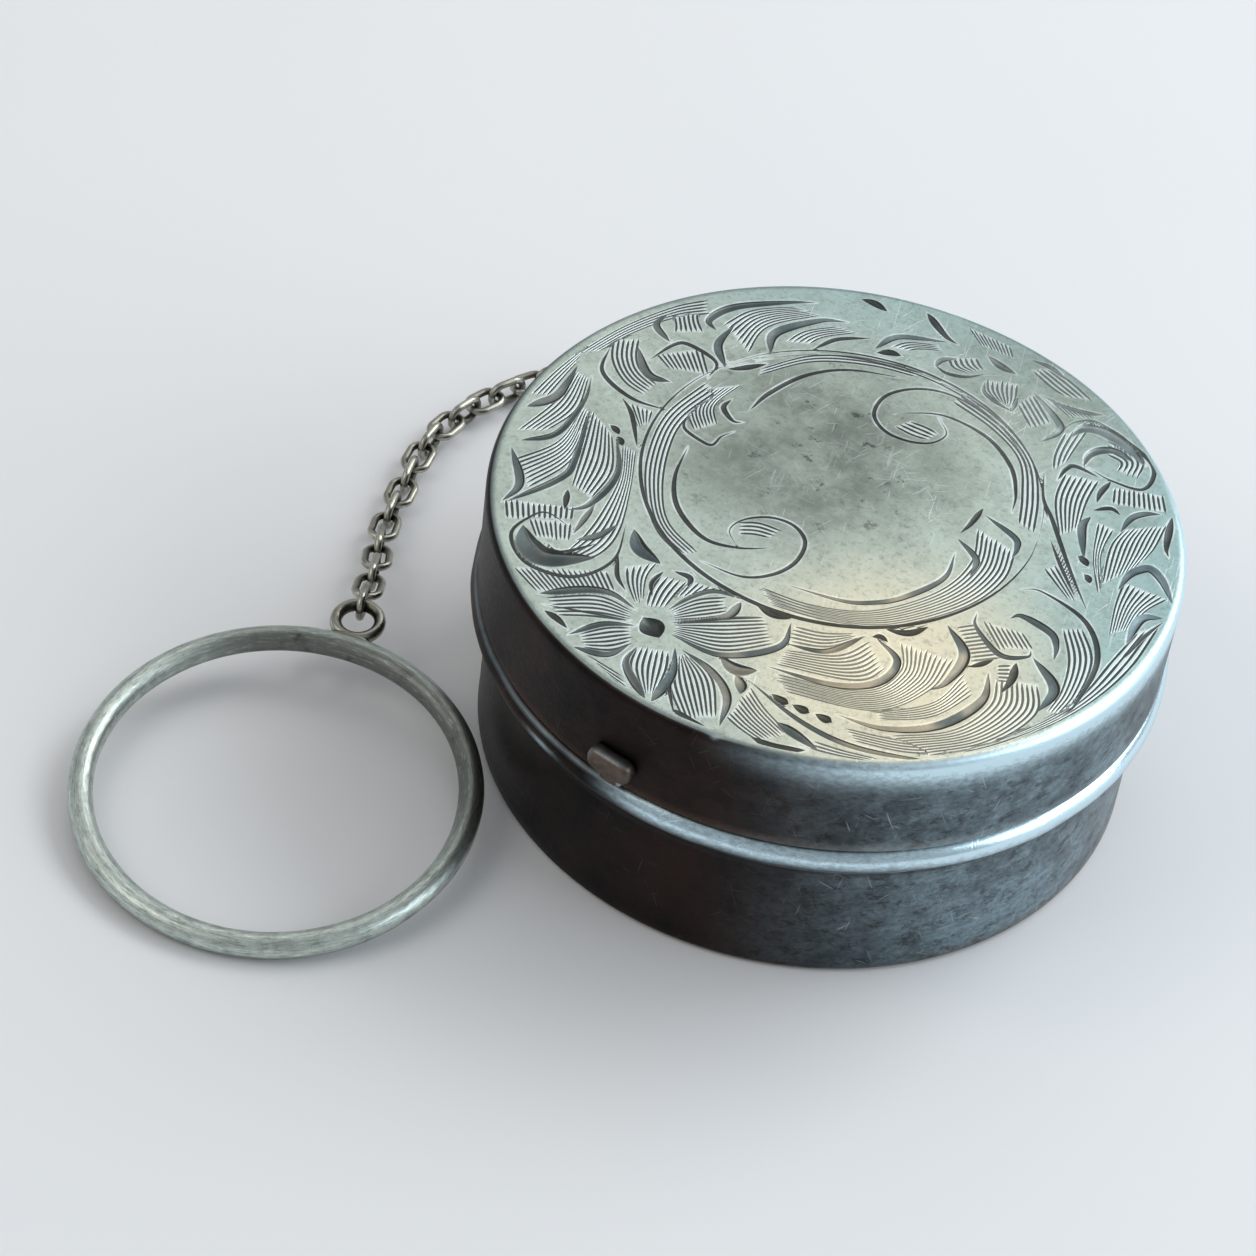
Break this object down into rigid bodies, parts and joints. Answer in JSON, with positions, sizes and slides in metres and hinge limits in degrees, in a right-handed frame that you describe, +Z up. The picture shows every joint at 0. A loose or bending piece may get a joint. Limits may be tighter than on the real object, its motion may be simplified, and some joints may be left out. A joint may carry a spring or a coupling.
{
  "type": "powder box",
  "caption": "Round aged-silver powder box with an engraved hinged lid, beaded rim and thumb-piece, joined by a fine trace chain to a plain finger ring.",
  "frame": {"origin": "centre of the box's flat underside", "axes": "+Z up through the lid, +Y towards the hinge, -Y towards the thumb-piece, the finger ring lies in front on the left"},
  "size_m": [0.0463, 0.055, 0.0154],
  "materials": {
    "bright_silver": "engraved silver, worn bright, tarnish in the cuts",
    "aged_silver": "silver under brown-black tarnish, rubbed bright on edges",
    "inner_silver": "clean satin silver",
    "chain_silver": "satin silver wire with fine scratches",
    "mirror_glass": "silvered glass"
  },
  "bodies": {
    "base": {"base_cup": "aged_silver", "inner_collar": "inner_silver", "base_knuckle_left": "aged_silver", "base_knuckle_middle": "aged_silver", "base_knuckle_right": "aged_silver", "hinge_pin": "inner_silver", "chain_eye": "aged_silver"},
    "lid": {"lid_shell": "bright_silver", "thumb_piece": "aged_silver", "mirror": "mirror_glass", "mirror_bezel": "inner_silver", "lid_knuckle_left": "aged_silver", "lid_knuckle_right": "aged_silver"},
    "link_01": {"chain_link_01": "chain_silver"},
    "link_02": {"chain_link_02": "chain_silver"},
    "link_03": {"chain_link_03": "chain_silver"},
    "link_04": {"chain_link_04": "chain_silver"},
    "link_05": {"chain_link_05": "chain_silver"},
    "link_06": {"chain_link_06": "chain_silver"},
    "link_07": {"chain_link_07": "chain_silver"},
    "link_08": {"chain_link_08": "chain_silver"},
    "link_09": {"chain_link_09": "chain_silver"},
    "link_10": {"chain_link_10": "chain_silver"},
    "link_11": {"chain_link_11": "chain_silver"},
    "link_12": {"chain_link_12": "chain_silver"},
    "link_13": {"chain_link_13": "chain_silver"},
    "link_14": {"chain_link_14": "chain_silver"},
    "link_15": {"chain_link_15": "chain_silver"},
    "link_16": {"chain_link_16": "chain_silver"},
    "link_17": {"chain_link_17": "chain_silver"},
    "link_18": {"chain_link_18": "chain_silver"},
    "link_19": {"chain_link_19": "chain_silver"},
    "link_20": {"chain_link_20": "chain_silver"},
    "link_21": {"chain_link_21": "chain_silver"},
    "link_22": {"chain_link_22": "chain_silver"},
    "link_23": {"chain_link_23": "chain_silver"},
    "link_24": {"chain_link_24": "chain_silver"},
    "link_25": {"chain_link_25": "chain_silver"},
    "link_26": {"chain_link_26": "chain_silver"},
    "link_27": {"chain_link_27": "chain_silver"},
    "link_28": {"chain_link_28": "chain_silver"},
    "link_29": {"chain_link_29": "chain_silver"},
    "link_30": {"chain_link_30": "chain_silver"},
    "link_31": {"chain_link_31": "chain_silver"},
    "link_32": {"chain_link_32": "chain_silver"},
    "ring": {"finger_ring": "chain_silver", "ring_eye": "chain_silver"}
  },
  "joints": [
    {"name": "lid_hinge", "type": "hinge", "parent": "base", "child": "lid", "pos_m": [0, 0.01863, 0.00947], "axis": [-1, 0, 0], "range_deg": [0, 105]},
    {"name": "link_01_swing", "type": "hinge", "parent": "base", "child": "link_01", "pos_m": [-0.00742, 0.01749, 0.0042], "axis": [0, 0, 1], "range_deg": [-30, 0]},
    {"name": "link_02_swing", "type": "hinge", "parent": "link_01", "child": "link_02", "pos_m": [-0.00844, 0.01844, 0.00378], "axis": [0.6869, 0.7267, 0], "range_deg": [-12, 12]},
    {"name": "link_03_swing", "type": "hinge", "parent": "link_02", "child": "link_03", "pos_m": [-0.0095, 0.01949, 0.00334], "axis": [0.2079, -0.199, -0.9577], "range_deg": [0, 30]},
    {"name": "link_04_swing", "type": "hinge", "parent": "link_03", "child": "link_04", "pos_m": [-0.01078, 0.02023, 0.00284], "axis": [-0.5133, -0.8582, 0], "range_deg": [-12, 30]},
    {"name": "link_05_swing", "type": "hinge", "parent": "link_04", "child": "link_05", "pos_m": [-0.01214, 0.02073, 0.00226], "axis": [-0.3335, 0.1365, 0.9328], "range_deg": [-30, 0]},
    {"name": "link_06_swing", "type": "hinge", "parent": "link_05", "child": "link_06", "pos_m": [-0.01358, 0.021, 0.00173], "axis": [-0.2123, -0.9772, 0], "range_deg": [-12, 30]},
    {"name": "link_07_swing", "type": "hinge", "parent": "link_06", "child": "link_07", "pos_m": [-0.01509, 0.0209, 0.00136], "axis": [0.245, 0.0084, -0.9695], "range_deg": [0, 30]},
    {"name": "link_08_swing", "type": "hinge", "parent": "link_07", "child": "link_08", "pos_m": [-0.01659, 0.02048, 0.00115], "axis": [-0.2328, 0.9725, 0], "range_deg": [-30, 12]},
    {"name": "link_09_swing", "type": "hinge", "parent": "link_08", "child": "link_09", "pos_m": [-0.01802, 0.0199, 0.001], "axis": [-0.0997, -0.0374, 0.9943], "range_deg": [-30, 0]},
    {"name": "link_10_swing", "type": "hinge", "parent": "link_09", "child": "link_10", "pos_m": [-0.0194, 0.01919, 0.00089], "axis": [-0.4422, 0.8969, 0], "range_deg": [-30, 12]},
    {"name": "link_11_swing", "type": "hinge", "parent": "link_10", "child": "link_11", "pos_m": [-0.0207, 0.01834, 0.00081], "axis": [0.047, 0.0295, -0.9985], "range_deg": [0, 30]},
    {"name": "link_12_swing", "type": "hinge", "parent": "link_11", "child": "link_12", "pos_m": [-0.0219, 0.01736, 0.00082], "axis": [0.62, -0.7846, 0], "range_deg": [-12, 30]},
    {"name": "link_13_swing", "type": "hinge", "parent": "link_12", "child": "link_13", "pos_m": [-0.02301, 0.01627, 0.00085], "axis": [0.0113, 0.0108, 0.9999], "range_deg": [-30, 0]},
    {"name": "link_14_swing", "type": "hinge", "parent": "link_13", "child": "link_14", "pos_m": [-0.02401, 0.01509, 0.00088], "axis": [0.7503, -0.6611, 0], "range_deg": [-12, 30]},
    {"name": "link_15_swing", "type": "hinge", "parent": "link_14", "child": "link_15", "pos_m": [-0.02491, 0.01382, 0.00088], "axis": [-0.0006, -0.0008, -1], "range_deg": [0, 30]},
    {"name": "link_16_swing", "type": "hinge", "parent": "link_15", "child": "link_16", "pos_m": [-0.02568, 0.01247, 0.00088], "axis": [-0.8608, 0.509, 0], "range_deg": [-30, 12]},
    {"name": "link_17_swing", "type": "hinge", "parent": "link_16", "child": "link_17", "pos_m": [-0.02634, 0.01107, 0.00088], "axis": [0, 0, 1], "range_deg": [-30, 0]},
    {"name": "link_18_swing", "type": "hinge", "parent": "link_17", "child": "link_18", "pos_m": [-0.02689, 0.00962, 0.00088], "axis": [-0.9293, 0.3693, 0], "range_deg": [-30, 12]},
    {"name": "link_19_swing", "type": "hinge", "parent": "link_18", "child": "link_19", "pos_m": [-0.02733, 0.00813, 0.00088], "axis": [0, 0, -1], "range_deg": [0, 30]},
    {"name": "link_20_swing", "type": "hinge", "parent": "link_19", "child": "link_20", "pos_m": [-0.02761, 0.0066, 0.00088], "axis": [0.9805, -0.1964, 0], "range_deg": [-12, 30]},
    {"name": "link_21_swing", "type": "hinge", "parent": "link_20", "child": "link_21", "pos_m": [-0.02772, 0.00505, 0.00088], "axis": [0, 0, 1], "range_deg": [-30, 0]},
    {"name": "link_22_swing", "type": "hinge", "parent": "link_21", "child": "link_22", "pos_m": [-0.02765, 0.0035, 0.00088], "axis": [0.9997, 0.0253, 0], "range_deg": [-12, 30]},
    {"name": "link_23_swing", "type": "hinge", "parent": "link_22", "child": "link_23", "pos_m": [-0.02736, 0.00197, 0.00087], "axis": [-0.0008, 0.0045, -1], "range_deg": [0, 30]},
    {"name": "link_24_swing", "type": "hinge", "parent": "link_23", "child": "link_24", "pos_m": [-0.02682, 0.00051, 0.00085], "axis": [-0.9487, -0.3161, 0], "range_deg": [-30, 12]},
    {"name": "link_25_swing", "type": "hinge", "parent": "link_24", "child": "link_25", "pos_m": [-0.02621, -0.00092, 0.00086], "axis": [-0.0006, 0.0014, 1], "range_deg": [-30, 0]},
    {"name": "link_26_swing", "type": "hinge", "parent": "link_25", "child": "link_26", "pos_m": [-0.02564, -0.00236, 0.00092], "axis": [-0.9317, -0.3631, 0], "range_deg": [-30, 12]},
    {"name": "link_27_swing", "type": "hinge", "parent": "link_26", "child": "link_27", "pos_m": [-0.02503, -0.00378, 0.00099], "axis": [0.0192, -0.0448, -0.9988], "range_deg": [0, 30]},
    {"name": "link_28_swing", "type": "hinge", "parent": "link_27", "child": "link_28", "pos_m": [-0.02433, -0.00515, 0.00115], "axis": [0.8956, 0.4449, 0], "range_deg": [-12, 30]},
    {"name": "link_29_swing", "type": "hinge", "parent": "link_28", "child": "link_29", "pos_m": [-0.0235, -0.00643, 0.00147], "axis": [-0.1024, 0.1607, 0.9817], "range_deg": [-30, 0]},
    {"name": "link_30_swing", "type": "hinge", "parent": "link_29", "child": "link_30", "pos_m": [-0.02261, -0.00764, 0.00186], "axis": [0.8194, 0.5733, 0], "range_deg": [-12, 30]},
    {"name": "link_31_swing", "type": "hinge", "parent": "link_30", "child": "link_31", "pos_m": [-0.02186, -0.00895, 0.00221], "axis": [0.1149, -0.1958, -0.9739], "range_deg": [0, 30]},
    {"name": "link_32_swing", "type": "hinge", "parent": "link_31", "child": "link_32", "pos_m": [-0.02115, -0.01028, 0.00258], "axis": [-0.8784, -0.4779, 0], "range_deg": [-30, 12]},
    {"name": "ring_swing", "type": "hinge", "parent": "link_32", "child": "ring", "pos_m": [-0.02073, -0.01107, 0.00279], "axis": [-0.8705, -0.4914, -0.0281], "range_deg": [-45, 28]}
  ]
}
